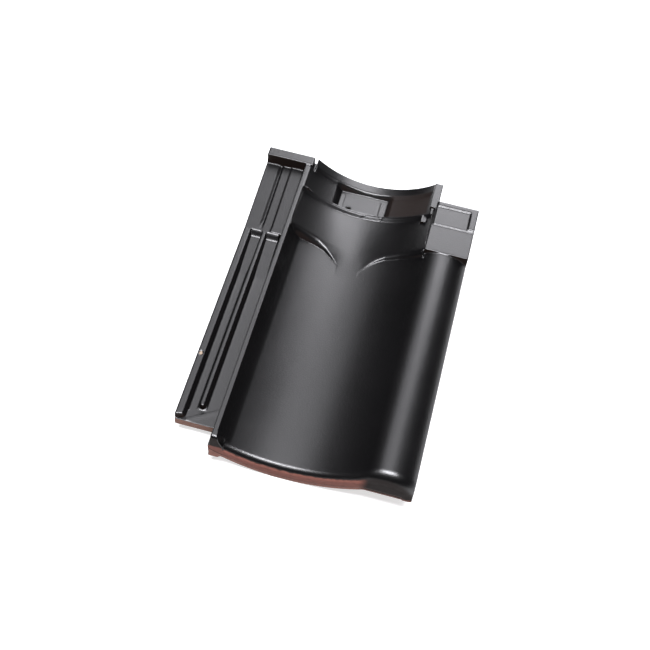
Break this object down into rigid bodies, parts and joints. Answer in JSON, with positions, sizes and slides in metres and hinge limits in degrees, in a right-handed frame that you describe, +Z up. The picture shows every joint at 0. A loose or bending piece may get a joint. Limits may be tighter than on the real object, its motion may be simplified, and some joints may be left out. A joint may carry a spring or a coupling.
{
  "type": "clay roof tile",
  "caption": "Interlocking clay pantile: curved trough and roll, ribbed side lock, stepped head lap, nail hole and batten nibs, satin black glaze.",
  "frame": {"origin": "on the floor under the middle of the tile's outline", "axes": "+X across the tile from the side lock to the roll, +Y from the foot edge up to the head, +Z up, the glazed weather face on top"},
  "size_m": [0.258, 0.39, 0.0622],
  "materials": {
    "black_glazed_clay": "satin black glaze over red-brown clay"
  },
  "bodies": {
    "root": {"roof_tile": "black_glazed_clay"}
  },
  "joints": []
}
